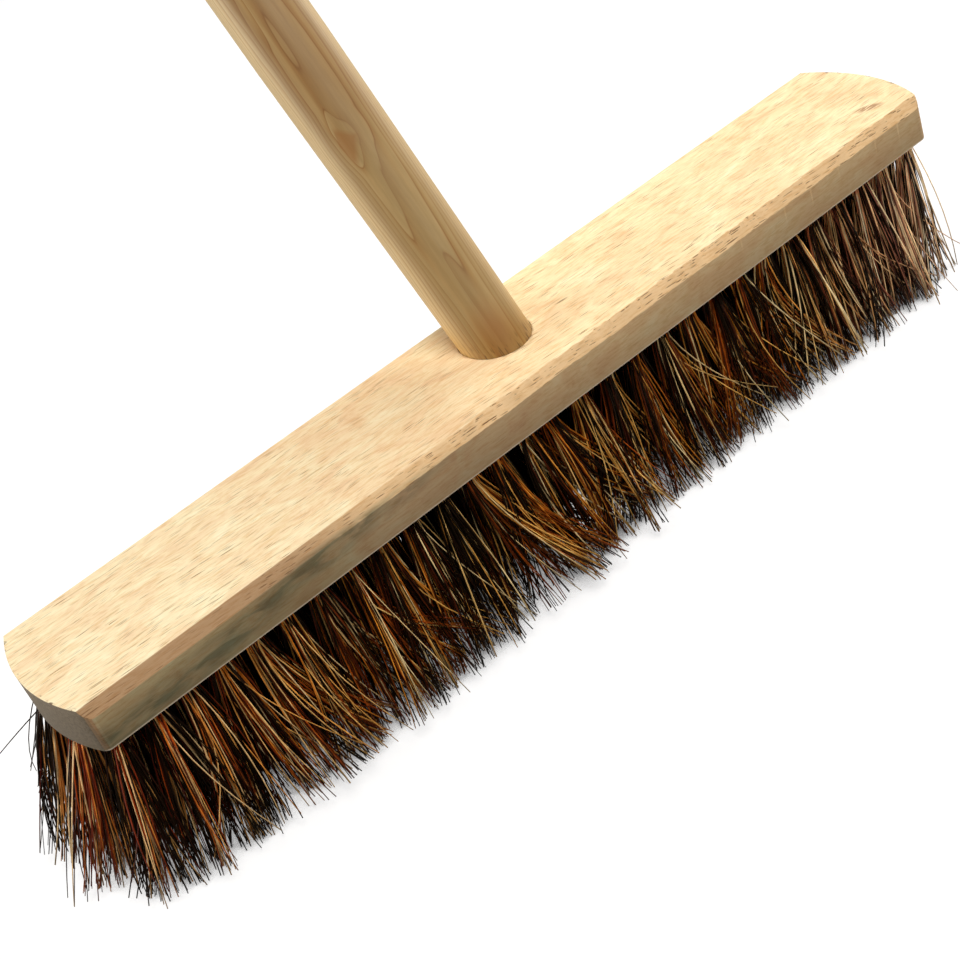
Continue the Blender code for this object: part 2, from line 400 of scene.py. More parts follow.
    # The planed front and back faces: duller than the top and browner at the left, both painted shade
    face_mask = add_node(
        tree, "ShaderNodeValToRGB", links={0: side_on.outputs[0]}, stops=((0.95, 0.0), (0.99, 1.0)),
    )
    face_painted_shade = add_node(
        tree, "ShaderNodeMix", {"data_type": "RGBA", 6: linear("#DDD3C9"), 7: linear("#C0B9A8")},
        {0: left_third.outputs[0]},
    )
    faced = add_node(
        tree, "ShaderNodeMix", tint,
        {0: face_mask.outputs[0], 6: marked.outputs[2], 7: face_painted_shade.outputs[2]},
    )

    # The sap stain on the front face: a band that climbs from the left end's foot
    climb = add_node(
        tree, "ShaderNodeMapRange",
        {
            **soft_step, "From Min": -0.175, "From Max": -0.055,
            "To Min": stock_bottom + 0.0035, "To Max": stock_bottom + 0.0135,
        }, {"Value": coordinates.outputs["X"]},
    )
    wave_place = add_node(
        tree, "ShaderNodeMapping", {"vector_type": "TEXTURE", "Scale": (0.028, 0.01, 0.006)}, {"Vector": place},
    )
    wave = add_node(tree, "ShaderNodeTexNoise", {"Scale": 1, "Detail": 3}, {"Vector": wave_place.outputs[0]})
    swing = add_node(
        tree, "ShaderNodeMapRange", {"To Min": -0.004, "To Max": 0.004}, {"Value": wave.outputs[0]},
    )
    centre = add_node(tree, "ShaderNodeMath", {"operation": "ADD"}, {0: climb.outputs[0], 1: swing.outputs[0]})
    off_centre = add_node(
        tree, "ShaderNodeMath", {"operation": "SUBTRACT"}, {0: coordinates.outputs["Z"], 1: centre.outputs[0]},
    )
    away = add_node(tree, "ShaderNodeMath", {"operation": "ABSOLUTE"}, {0: off_centre.outputs[0]})
    stain = add_node(
        tree, "ShaderNodeMapRange",
        {**soft_step, "From Min": 0.0004, "From Max": 0.0074, "To Min": 0.95, "To Max": 0.0},
        {"Value": away.outputs[0]},
    )
    blotch_place = add_node(
        tree, "ShaderNodeMapping", {"vector_type": "TEXTURE", "Scale": (0.012, 0.004, 0.003)},
        {"Vector": place},
    )
    blotch = add_node(
        tree, "ShaderNodeTexNoise", {"Scale": 1, "Detail": 3, "Distortion": 0.6},
        {"Vector": blotch_place.outputs[0]},
    )
    blotched = add_node(
        tree, "ShaderNodeValToRGB", links={0: blotch.outputs[0]}, stops=((0.36, 0.3), (0.58, 0.95)),
    )
    stain_end = add_node(
        tree, "ShaderNodeMapRange",
        {**soft_step, "From Min": -0.08, "From Max": -0.025, "To Min": 1.0, "To Max": 0.0},
        {"Value": coordinates.outputs["X"]},
    )
    front = add_node(
        tree, "ShaderNodeMapRange", {"From Min": -0.0315, "From Max": -0.0305, "To Min": 1.0, "To Max": 0.0},
        {"Value": coordinates.outputs["Y"]},
    )
    for share in (blotched, stain_end, front):
        stain = add_node(
            tree, "ShaderNodeMath", product, {0: stain.outputs[0], 1: share.outputs[0]},
        )
    stained = add_node(
        tree, "ShaderNodeMix", {**tint, 7: linear("#A4B3B4")},
        {0: stain.outputs[0], 6: faced.outputs[2]},
    )

    # A light line along the bottom arris, a painted highlight
    arris_height = add_node(
        tree, "ShaderNodeMapRange",
        {"From Min": stock_bottom + 0.0003, "From Max": stock_bottom + 0.0007, "To Min": 0.7, "To Max": 0.0},
        {"Value": coordinates.outputs["Z"]},
    )
    arris_painted_highlight = add_node(
        tree, "ShaderNodeMix", {"data_type": "RGBA", 7: linear("#FFEFD2")},
        {0: arris_height.outputs[0], 6: stained.outputs[2]},
    )

    # End grain: duller, partly its own darker colour and partly painted shade, with fine specks
    speck_place = add_node(
        tree, "ShaderNodeMapping", {"vector_type": "TEXTURE", "Scale": (0.004, 0.0009, 0.0009)},
        {"Vector": place},
    )
    speck = add_node(tree, "ShaderNodeTexNoise", {"Scale": 1, "Detail": 3}, {"Vector": speck_place.outputs[0]})
    end_grain_and_painted_shade = add_node(
        tree, "ShaderNodeValToRGB", links={0: speck.outputs[0]}, stops=((0.3, "#70624D"), (0.65, "#867761")),
    )
    ended = add_node(
        tree, "ShaderNodeMix", {"data_type": "RGBA"},
        {0: end_mask.outputs[0], 6: arris_painted_highlight.outputs[2], 7: end_grain_and_painted_shade.outputs[0]},
    )

    # Chips and dirt along the sawn arris of each end: within 1.4 mm of the end's bow,
    # taken as a parabola, wherever a speckle is dark
    square = add_node(
        tree, "ShaderNodeMath", product,
        {0: coordinates.outputs["Y"], 1: coordinates.outputs["Y"]},
    )
    bow = add_node(
        tree, "ShaderNodeMath", {"operation": "MULTIPLY", 1: end_sagitta / (stock_width / 2) ** 2},
        {0: square.outputs[0]},
    )
    along = add_node(tree, "ShaderNodeMath", {"operation": "ABSOLUTE"}, {0: coordinates.outputs["X"]})
    reach = add_node(tree, "ShaderNodeMath", {"operation": "ADD"}, {0: along.outputs[0], 1: bow.outputs[0]})
    rim = add_node(
        tree, "ShaderNodeMapRange",
        {"From Min": stock_length / 2 - 0.0014, "From Max": stock_length / 2 - 0.0002},
        {"Value": reach.outputs[0]},
    )
    chip_place = add_node(
        tree, "ShaderNodeMapping", {"vector_type": "TEXTURE", "Scale": (0.0022, 0.0032, 0.0032)},
        {"Vector": place},
    )
    chip = add_node(tree, "ShaderNodeTexNoise", {"Scale": 1, "Detail": 3}, {"Vector": chip_place.outputs[0]})
    chips = add_node(
        tree, "ShaderNodeValToRGB", links={0: chip.outputs[0]}, stops=((0.57, 0.0), (0.64, 0.9)),
    )
    up = add_node(
        tree, "ShaderNodeMapRange", {"From Min": 0.1, "From Max": 0.3}, {"Value": facing.outputs["Z"]},
    )
    for share in (rim, up):
        chips = add_node(
            tree, "ShaderNodeMath", product, {0: chips.outputs[0], 1: share.outputs[0]},
        )
    chipped = add_node(
        tree, "ShaderNodeMix", {"data_type": "RGBA", 7: linear("#5C4129")},
        {0: chips.outputs[0], 6: ended.outputs[2]},
    )
    tree.links.new(chipped.outputs[2], shader.inputs["Base Color"])

    relief = add_node(
        tree, "ShaderNodeMath", {"operation": "SUBTRACT"}, {0: fibre.outputs[0], 1: pores.outputs[0]},
    )
    bump = add_node(
        tree, "ShaderNodeBump", {"Strength": 0.3, "Distance": 0.0002}, {"Height": relief.outputs[0]},
    )
    tree.links.new(bump.outputs[0], shader.inputs["Normal"])
    shader.inputs["Roughness"].default_value = 0.62
    shader.inputs["Specular IOR Level"].default_value = 0.35
    return made


stock.data.materials.clear()
stock.data.materials.append(planed_rubberwood())
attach(stock, "root")
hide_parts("stock")

# The fibre: stiff palm bass, folded in half over a wire and pulled into a blind hole, so
# that both halves stand out as one tuft of about a hundred fibres. The brush is trimmed
# flat, but the fibres have spread and taken a bend, most at the front and at the ends.
row_places = (-0.024, -0.012, 0.0, 0.012, 0.024)
row_tufts = 29
row_half_length = 0.178
pitch = 2 * row_half_length / (row_tufts - 1)
tuft_radius = 0.0029
hole_wall = 0.0008
fibres_per_tuft = 104
locks_per_tuft = 9
fibre_radius = 0.00028
fibre_length = 0.0588
shortest_fall = 0.03
floor_clearance = 0.0004
fibre_stations = 8
fibre_sides = 3
spread_along = 0.0115
spread_across = 0.0095
lock_scatter = 0.0025
tuft_scatter = 0.0015
fibre_scatter = 0.0022
lock_bow = 0.0018
fibre_bow = 0.001
front_splay = 0.0105
left_splay = 0.017
right_splay = -0.0085
swept_share_left = 0.17
swept_share_right = 0.1
stray_share_front = 0.045
stray_share_behind = 0.01
foot_pull = np.array([0.9, 0.3])
foot_reach = 0.024
farthest_tip = 0.2165
foremost_tip = 0.058
farthest_drift = 0.033
sink = 0.001
foot_middle = np.array([mouth.x, mouth.y - (stock_top - stock_bottom) * math.tan(handle_lean)])
foot_pass = 1.12

# The loose fibre: its root, tip, bend, rise, radius and tone
loose_fibre = ((-0.1765, 0.0122, 0.0572), (-0.2085, 0.0112, 0.0498), (0, 0.001), 1.0, 0.00026, 0.1)


def tuft_places(row):
    """The places of a row's tufts, evenly pitched, less those on the pole's foot.

    The second and fourth rows are staggered and half a pitch longer at each end. The foot's
    slice at the underside is an ellipse, longer across by the lean's cosine, and its half
    width on a row is reach. The front row only grazes it, so the tuft there is drilled
    just beside it instead.
    """
    x = pitch * np.arange(row_tufts + row % 2) - row_half_length - pitch / 2 * (row % 2)
    room = tuft_radius + hole_wall
    share_y = (row_places[row] - foot_middle[1]) / (mouth_radius / math.cos(handle_lean) + room)
    reach = (mouth_radius + room) * math.sqrt(max(0, 1 - share_y**2))
    off = x - foot_middle[0]
    on_foot = np.abs(off) < reach
    if row == 0:
        x = np.where(on_foot, foot_middle[0] + foot_pass * reach * np.sign(off), x)
    else:
        x = x[~on_foot]
    return np.stack([x, np.full_like(x, row_places[row])], axis=-1)


def fibre_ends(row, chance):
    """Where the fibres of a row start and end, how they bend, how thick and how light they are.

    A root lies anywhere in its tuft's round hole. Fibres from the same side of the hole
    keep together in a lock, whose tip stands off to that side, plus the splay of its row
    and of the stock's ends. Some of the front row's locks sweep off to the right, and a
    few fibres of any row stray. Tufts around the pole's foot lean over its bare place, by
    a pull that falls off as e to the minus square of their distance over its reach. Fibres
    are lighter in the front row, and lighter towards the right end as painted light from
    that side; the bright fibres and the strays are partly a painted highlight. Each drifts
    at least evenly, by a rise of 1 or more. No tip goes farther left or forward than its
    limits, or drifts from its root by more than the farthest drift. A fibre is of fixed
    length, so one that leans more ends higher. The fourth row has one loose fibre that
    stands straight out past the left end.
    """
    tufts = tuft_places(row)
    front = row == 0
    count = len(tufts)
    shape = (count, fibres_per_tuft)
    locks = locks_per_tuft
    turn = chance.uniform(0, 2 * math.pi, shape)
    lock = (turn / (2 * math.pi) * locks).astype(int)
    reach = tuft_radius * np.sqrt(chance.uniform(0, 1, shape))
    roots = tufts[:, None] + np.stack([np.cos(turn), np.sin(turn)], axis=-1) * reach[..., None]

    # Each lock's own tip, bend, rise and tone, with less spread near the stock's ends
    lock_turn = (np.arange(locks) + chance.uniform(0.1, 0.9, (count, locks))) * 2 * math.pi / locks
    lock_reach = chance.uniform(0.25, 1.15, (count, locks))
    lock_tip = np.stack([np.cos(lock_turn) * spread_along, np.sin(lock_turn) * spread_across], axis=-1)
    lock_tip = lock_tip * lock_reach[..., None] + chance.normal(0, lock_scatter, (count, locks, 2))
    near_end = np.clip((np.abs(tufts[:, 0]) - 0.13) / 0.05, 0, 1)
    lock_tip = lock_tip * (1 - 0.15 * near_end[:, None, None]) + chance.normal(0, tuft_scatter, (count, 1, 2))
    lock_bend = chance.normal(0, lock_bow, (count, locks, 2))
    lock_rise = chance.uniform(1.15, 2.0, (count, locks))
    lock_tone = chance.uniform(0, 1, (count, locks)) ** 2

    # The front row's locks that sweep to the right, away from its ends, and light ones
    sweeping = np.where(tufts[:, :1] < 0, swept_share_left, swept_share_right)
    swept = (chance.uniform(0, 1, (count, locks)) < sweeping) & front & (near_end == 0)[:, None]
    swept_along = chance.uniform(0.008, 0.024, (count, locks))
    swept_off = np.stack([swept_along, np.full((count, locks), -0.004)], axis=-1)
    lock_tip = lock_tip + swept[..., None] * swept_off
    lock_rise = np.where(swept, 2.1, lock_rise)
    lock_tone = np.where(swept, 0.95, lock_tone)
    own = np.arange(count)[:, None]

    # The splay: along the stock by the fourth power of a tuft's share of the half length,
    # to the front and back by the square of its row's share of the half width, and towards
    # the pole's foot
    outward = tufts / np.array([row_half_length + pitch / 2, row_places[-1]])
    rightward = np.clip(outward[:, :1], 0, 1)
    end_splay = np.where(outward[:, 0] < 0, -left_splay, right_splay) * outward[:, 0] ** 4
    front_share = 1 - 0.28 * np.tanh(tufts[:, 0] / 0.03) - 0.35 * rightward[:, 0] ** 6
    side_splay = front_splay * front_share * outward[:, 1] * np.abs(outward[:, 1])
    splay = np.stack([end_splay * (1.05 + 0.25 * outward[:, 1] * np.abs(outward[:, 1])), side_splay], axis=-1)
    to_foot = foot_middle - tufts
    splay = splay + to_foot * foot_pull * np.exp(-np.sum(to_foot**2, axis=-1, keepdims=True) / foot_reach**2)

    # Each fibre's own tip, bend, tone, rise, radius and length. Some are bright and a
    # little thicker, straw fibres that are partly a painted highlight, most of all at the
    # right end, where the fibres are also lighter as painted light from that side
    tips = tufts[:, None] + splay[:, None] + lock_tip[own, lock] + chance.normal(0, fibre_scatter, (*shape, 2))
    bends = lock_bend[own, lock] + chance.normal(0, fibre_bow, (*shape, 2))
    tone = lock_tone[own, lock] * (0.56 if front else 0.48)
    tone = tone + chance.normal(0.0, 0.18, shape) + 0.06 * rightward**3
    bright = chance.uniform(0, 1, shape) < 0.12 + 0.08 * outward[:, :1] ** 6 + 0.24 * rightward**4
    tone = np.where(bright, chance.uniform(0.68, 1, shape), np.clip(tone, 0, 1))
    rise = lock_rise[own, lock] + chance.normal(0, 0.15, shape) - 0.55 * outward[:, :1] ** 4
    rise = np.maximum(rise, 1)
    radius = fibre_radius * chance.uniform(0.7, 1.2, shape) * (1 + 0.2 * bright)
    length = fibre_length + chance.normal(0, 0.0012, shape)

    # Light strays that leave their lock, mostly to the right and to the front; their light tone is partly a
    # painted highlight
    straying = stray_share_front if front else stray_share_behind
    stray = (chance.uniform(0, 1, shape) < straying) & ~swept[own, lock]
    sweep = np.stack([chance.uniform(-0.006, 0.024, shape), -chance.uniform(0.002, 0.01, shape)], axis=-1)
    tips = tips + sweep * stray[..., None] * (1 if front else 0.5) * (1 - 0.6 * outward[:, :1, None] ** 8)
    rise = np.where(stray, chance.uniform(1.3, 2.3, shape), rise)
    tone = np.where(stray, chance.uniform(0.7, 1, shape), tone)

    # The limits on a tip, and its height by Pythagoras from the fibre's length and drift,
    # with a tenth more for the bend. One fibre in ten is cut up to 9 mm short
    tips = np.maximum(tips, np.array([-farthest_tip, -foremost_tip]))
    drift = np.linalg.norm(tips - roots, axis=-1)
    tips = roots + (tips - roots) * np.minimum(1, farthest_drift / drift)[..., None]
    drift = np.minimum(drift, farthest_drift)
    short = np.where(chance.uniform(0, 1, shape) < 0.1, chance.uniform(0, 0.009, shape), 0)
    fall = np.sqrt(np.clip(length**2 - 1.1 * drift**2, shortest_fall**2, None)) - short
    tip_z = np.clip(stock_bottom + sink - fall, floor_clearance, None)
    starts = np.concatenate([roots, np.full((*shape, 1), stock_bottom + sink)], axis=-1)
    ends = np.concatenate([tips, tip_z[..., None]], axis=-1)
    parts = [part.reshape(-1, *part.shape[2:]) for part in (starts, ends, bends, rise, radius, tone)]
    if row == 3:
        parts = [np.concatenate([part, np.array(value)[None]]) for part, value in zip(parts, loose_fibre)]
    return parts


def fibre_row(name, row, look):
    """A row of fibres as one mesh.

    With u from 0 at the root to 1 at the tip, a fibre falls evenly, drifts towards its tip
    by u to the power of its rise, and bows aside by its bend times 4u(1 - u). Each station
    carries a ring of three corners square to the run, thinner towards the tip.
    """
    chance = np.random.default_rng(20 + row)
    starts, ends, bends, rise, radius, tone = fibre_ends(row, chance)
    count = len(starts)
    u = np.linspace(0, 1, fibre_stations)[None, :]
    drift = u ** rise[:, None]
    bow = 4 * u * (1 - u)
    to_tip = ends - starts
    flat = starts[:, None, :2] + to_tip[:, None, :2] * drift[..., None] + bends[:, None] * bow[..., None]
    height = starts[:, None, 2] + to_tip[:, None, 2] * u
    path = np.concatenate([flat, height[..., None]], axis=-1)
    run = np.gradient(path, axis=1)
    run = run / np.linalg.norm(run, axis=-1, keepdims=True)
    side = np.cross(run, np.array([0.0, 1.0, 0.0]))
    side = side / np.linalg.norm(side, axis=-1, keepdims=True)
    other = np.cross(run, side)
    turn = 2 * math.pi * np.arange(fibre_sides) / fibre_sides
    turn = turn[None, None, :] + chance.uniform(0, 2, count)[:, None, None]
    ring = side[:, :, None] * np.cos(turn)[..., None] + other[:, :, None] * np.sin(turn)[..., None]
    thickness = radius[:, None] * (1 - 0.3 * u**2)
    points = path[:, :, None] + ring * thickness[:, :, None, None]
    points[..., 2] = np.maximum(points[..., 2], 0)

    each = fibre_stations * fibre_sides
    first = (np.arange(count) * each)[:, None, None]
    quads = (grid_quads(fibre_stations, fibre_sides, closed=True)[None] + first).reshape(-1, 4)
    root_cap = np.arange(fibre_sides)[::-1][None] + first[:, 0]
    tip_cap = np.arange(each - fibre_sides, each)[None] + first[:, 0]
    made = put_mesh(name, points.reshape(-1, 3), [quads, root_cap, tip_cap])
    made.data.shade_smooth()
    along = np.tile(np.repeat(u[0], fibre_sides), count)
    for label, values in (("tone", np.repeat(tone, each)), ("along", along)):
        attribute = made.data.attributes.new(label, "FLOAT", "POINT")
        attribute.data.foreach_set("value", values.astype(np.float32))
    made.data.materials.append(look)
    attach(made, "root")
    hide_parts(*[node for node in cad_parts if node.startswith(f"tuft_row_{row + 1}_")])
    return made


def palm_bass():
    """Palm bass fibre, split and dried, not dyed. It gives the eye a mix of near-black,
    red-brown, orange-brown and straw fibres with a warm, waxy gloss, darker at the tip and
    redder at the brush's left end. Painted light is laid on too: the fibres are brighter at
    the root, and paler and greyer towards the brush's right, as painted light and sheen
    from that side."""
    made, tree, shader = new_look("palm_bass_fibre")
    tone = add_node(tree, "ShaderNodeAttribute", {"attribute_name": "tone"})
    along = add_node(tree, "ShaderNodeAttribute", {"attribute_name": "along"})
    body = add_node(
        tree, "ShaderNodeValToRGB", links={0: tone.outputs["Fac"]},
        stops=(
            (0.0, "#060302"), (1.0, "#FFE2A6"), (0.2, "#1A0905"), (0.34, "#581E0B"), (0.5, "#B45316"),
            (0.66, "#EE942E"), (0.82, "#FFC468"),
        ),
    )
    place = add_node(tree, "ShaderNodeTexCoord").outputs["Object"]
    coordinates = add_node(tree, "ShaderNodeSeparateXYZ", links={0: place})
    # Towards the brush's right the fibres turn greyer and lighter, a painted sheen and painted light from that
    # side; towards its left end the hue turns redder
    strength = add_node(
        tree, "ShaderNodeMapRange", {"From Min": 0.1, "From Max": 0.18, "To Min": 1.0, "To Max": 0.72},
        {"Value": coordinates.outputs["X"]},
    )
    painted_right_light = add_node(
        tree, "ShaderNodeMapRange", {"From Min": 0.06, "From Max": 0.18, "To Min": 1.0, "To Max": 1.35},
        {"Value": coordinates.outputs["X"]},
    )
    redness = add_node(
        tree, "ShaderNodeMapRange", {"From Min": -0.19, "From Max": -0.09, "To Min": 0.488, "To Max": 0.5},
        {"Value": coordinates.outputs["X"]},
    )
    hue_and_painted_light = add_node(
        tree, "ShaderNodeHueSaturation",
        links={
            "Hue": redness.outputs[0], "Saturation": strength.outputs[0], "Value": painted_right_light.outputs[0],
            "Color": body.outputs[0],
        },
    )
    fleck_place = add_node(
        tree, "ShaderNodeMapping", {"vector_type": "TEXTURE", "Scale": (0.003, 0.003, 0.009)},
        {"Vector": place},
    )
    fleck = add_node(tree, "ShaderNodeTexNoise", {"Scale": 1, "Detail": 2}, {"Vector": fleck_place.outputs[0]})
    fleck_tone = add_node(
        tree, "ShaderNodeValToRGB", links={0: fleck.outputs[0]}, stops=((0.35, 0.62), (0.65, 1.1)),
    )
    flecked = add_node(
        tree, "ShaderNodeMix", {**tint, 0: 1.0},
        {6: hue_and_painted_light.outputs[0], 7: fleck_tone.outputs[0]},
    )
    # Along each fibre: brighter at the root as painted light under the stock's edge, and darker at the tip
    painted_root_light_and_tip_tone = add_node(
        tree, "ShaderNodeValToRGB", links={0: along.outputs["Fac"]},
        stops=((0.0, 1.7), (1.0, 0.62), (0.3, 1.05), (0.6, 1.0)),
    )
    shaded = add_node(
        tree, "ShaderNodeMix", {**tint, 0: 1.0},
        {6: flecked.outputs[2], 7: painted_root_light_and_tip_tone.outputs[0]},
    )
    tree.links.new(shaded.outputs[2], shader.inputs["Base Color"])
    shader.inputs["Roughness"].default_value = 0.3
    shader.inputs["Specular IOR Level"].default_value = 0.4
    shader.inputs["Specular Tint"].default_value = linear("#E8B880")
    return made


fibre_look = palm_bass()
for row in range(len(row_places)):
    fibre_row(f"bass_fibres_row_{row + 1}", row, fibre_look)

# The pole: straight-grained softwood, turned to a slow taper at its foot and driven into
# the socket, then trimmed flush with the underside. Its free end is domed.
handle_length = 1.2
dome_height = 0.008
pole_sides = 128
pole_turn = (-handle_lean, 0, 0)
along_pole = {"vector_type": "TEXTURE", "Location": mouth, "Rotation": pole_turn}
ring_spacing = 0.0012
ring_face = (-0.39, -0.92, 0)
flank_face = (0.92, -0.39, 0)
knot_middle = (-0.0048, 0.0376, 0.1487)
patch_middle = (0.0015, -0.0052, 0.083)


def pole_faces():
    """The pole as rings along its run, from the slanted cut at its foot to the domed end.

    The foot's ring lies where each straight line of the taper meets the underside, so its
    height along the pole is (underside - mouth - radius * rise) / (run + taper * rise).
    The dome's rings shrink by the cosine of their turn.
    """
    side, other, run = pole_frame()
    turn = np.linspace(0, 2 * math.pi, pole_sides, endpoint=False)
    ring = side * np.cos(turn)[:, None] + other * np.sin(turn)[:, None]
    taper = (handle_radius - mouth_radius) / taper_length
    foot = (stock_bottom - stock_top - mouth_radius * ring[:, 2]) / (run[2] + taper * ring[:, 2])
    climb = np.linspace(0, 1, 14)[:, None]
    straight = np.array([0.3, 0.5, 0.7, 0.9, 1.1, handle_length - dome_height])[:, None]
    dome = np.radians([20, 40, 60, 75, 86])[:, None]
    dome_heights = handle_length - dome_height + dome_height * np.sin(dome)
    heights = np.concatenate([
        foot + (taper_length - foot) * climb,
        np.broadcast_to(straight, (len(straight), pole_sides)),
        np.broadcast_to(dome_heights, (len(dome), pole_sides)),
    ])
    radii = pole_radius(heights)
    radii[-len(dome):] = handle_radius * np.cos(dome)
    points = np.array(mouth) + heights[..., None] * run + radii[..., None] * ring
    top = np.array(mouth) + handle_length * run
    rings = len(heights)
    last = np.arange(pole_sides) + (rings - 1) * pole_sides
    crown = np.stack([last, np.roll(last, -1), np.full(pole_sides, rings * pole_sides)], axis=-1)
    cut = np.arange(pole_sides)[::-1][None]
    wall = grid_quads(rings, pole_sides, closed=True)
    return np.concatenate([points.reshape(-1, 3), top[None]]), [wall, crown, cut]


def sanded_softwood():
    """Pale softwood, turned and sanded. It gives the eye growth lines along the pole, few
    and wavering on its front and fine and close on its flanks, one small knot that they
    bend around, browner wood higher up, and at the foot a warm patch and a yellower band
    with short torn fibres from driving it in. The flanks are paler as a painted sheen at
    the pole's rims."""
    made, tree, shader = new_look("sanded_softwood")
    place = add_node(tree, "ShaderNodeTexCoord").outputs["Object"]

    # Broad shading, browner from about 85 mm up the pole, and the two flanks paler as a painted sheen at the
    # pole's rims
    own_place = add_node(tree, "ShaderNodeMapping", along_pole, {"Vector": place})
    across = add_node(
        tree, "ShaderNodeVectorMath", {"operation": "DOT_PRODUCT", 1: flank_face},
        {0: own_place.outputs[0]},
    )
    shifted = add_node(
        tree, "ShaderNodeMath", {"operation": "SUBTRACT", 1: 0.0012}, {0: across.outputs["Value"]},
    )
    off_middle = add_node(tree, "ShaderNodeMath", {"operation": "ABSOLUTE"}, {0: shifted.outputs[0]})
    flank = add_node(
        tree, "ShaderNodeMapRange",
        {**soft_step, "From Min": 0.0082, "From Max": 0.0142, "To Min": 0.0, "To Max": 0.9},
        {"Value": off_middle.outputs[0]},
    )
    broad_place = add_node(
        tree, "ShaderNodeMapping", {**along_pole, "Scale": (0.006, 0.006, 0.13)}, {"Vector": place},
    )
    broad = add_node(
        tree, "ShaderNodeTexNoise", {"Scale": 1, "Detail": 3, "Roughness": 0.55},
        {"Vector": broad_place.outputs[0]},
    )
    core = add_node(
        tree, "ShaderNodeValToRGB", links={0: broad.outputs[0]},
        stops=((0.28, "#A0804C"), (0.74, "#BEA471"), (0.45, "#A98B59"), (0.6, "#B29462")),
    )
    up_pole = add_node(tree, "ShaderNodeSeparateXYZ", links={0: own_place.outputs[0]})
    browning = add_node(
        tree, "ShaderNodeMapRange", {**soft_step, "From Min": 0.065, "From Max": 0.105},
        {"Value": up_pole.outputs["Z"]},
    )
    browned = add_node(
        tree, "ShaderNodeMix", {**tint, 7: linear("#EBDFD2")},
        {0: browning.outputs[0], 6: core.outputs[0]},
    )
    wood = add_node(
        tree, "ShaderNodeMix", {"data_type": "RGBA", 7: linear("#EFD5A2")},
        {0: flank.outputs[0], 6: browned.outputs[2]},
    )

    # Growth rings: sheets 1.2 mm apart that face the pole's front left, so they show wide
    # there and close on the flanks. A slow wander bends them along the pole, and a bulge
    # bends them around the knot
    knot_place = add_node(
        tree, "ShaderNodeMapping",
        {
            "vector_type": "TEXTURE", "Location": knot_middle, "Rotation": pole_turn,
            "Scale": (0.0044, 0.006, 0.0048),
        }, {"Vector": place},
    )
    knot = add_node(tree, "ShaderNodeVectorMath", {"operation": "LENGTH"}, {0: knot_place.outputs[0]})
    bulge = add_node(
        tree, "ShaderNodeMapRange",
        {**soft_step, "From Min": 0.8, "From Max": 3.0, "To Min": 0.75, "To Max": 0.0},
        {"Value": knot.outputs["Value"]},
    )
    wander_place = add_node(
        tree, "ShaderNodeMapping", {**along_pole, "Scale": (0.011, 0.011, 0.12)}, {"Vector": place},
    )
    wander = add_node(
        tree, "ShaderNodeTexNoise", {"Scale": 1, "Detail": 2, "Roughness": 0.4},
        {"Vector": wander_place.outputs[0]},
    )
    depth = add_node(
        tree, "ShaderNodeVectorMath", {"operation": "DOT_PRODUCT", 1: ring_face},
        {0: own_place.outputs[0]},
    )
    bent = add_node(
        tree, "ShaderNodeMath", {"operation": "MULTIPLY_ADD", 1: 6.0},
        {0: wander.outputs[0], 2: bulge.outputs[0]},
    )
    rings = add_node(
        tree, "ShaderNodeMath", {"operation": "MULTIPLY_ADD", 1: 1 / ring_spacing},
        {0: depth.outputs["Value"], 2: bent.outputs[0]},
    )
    ring_share = add_node(tree, "ShaderNodeMath", {"operation": "FRACT"}, {0: rings.outputs[0]})
    line_tone = add_node(
        tree, "ShaderNodeValToRGB", links={0: ring_share.outputs[0]},
        stops=(
            (0.0, "#FFFFFF"), (1.0, "#FFFFFF"), (0.5, "#FBF6EE"), (0.86, "#E6D2B8"), (0.92, "#C9A27A"),
            (0.95, "#F4EADC"),
        ),
    )
    strength = add_node(
        tree, "ShaderNodeMapRange", {"From Min": 0.35, "From Max": 0.6, "To Min": 0.4, "To Max": 0.9},
        {"Value": broad.outputs[0]},
    )
    lined = add_node(
        tree, "ShaderNodeMix", tint,
        {0: strength.outputs[0], 6: wood.outputs[2], 7: line_tone.outputs[0]},
    )
    fine_place = add_node(
        tree, "ShaderNodeMapping", {**along_pole, "Scale": (0.0008, 0.0008, 0.009)}, {"Vector": place},
    )
    fine = add_node(tree, "ShaderNodeTexNoise", {"Scale": 1, "Detail": 3}, {"Vector": fine_place.outputs[0]})
    fine_tone = add_node(
        tree, "ShaderNodeValToRGB", links={0: fine.outputs[0]}, stops=((0.3, 0.92), (0.7, 1.02)),
    )
    fined = add_node(
        tree, "ShaderNodeMix", {**tint, 0: 1.0},
        {6: lined.outputs[2], 7: fine_tone.outputs[0]},
    )

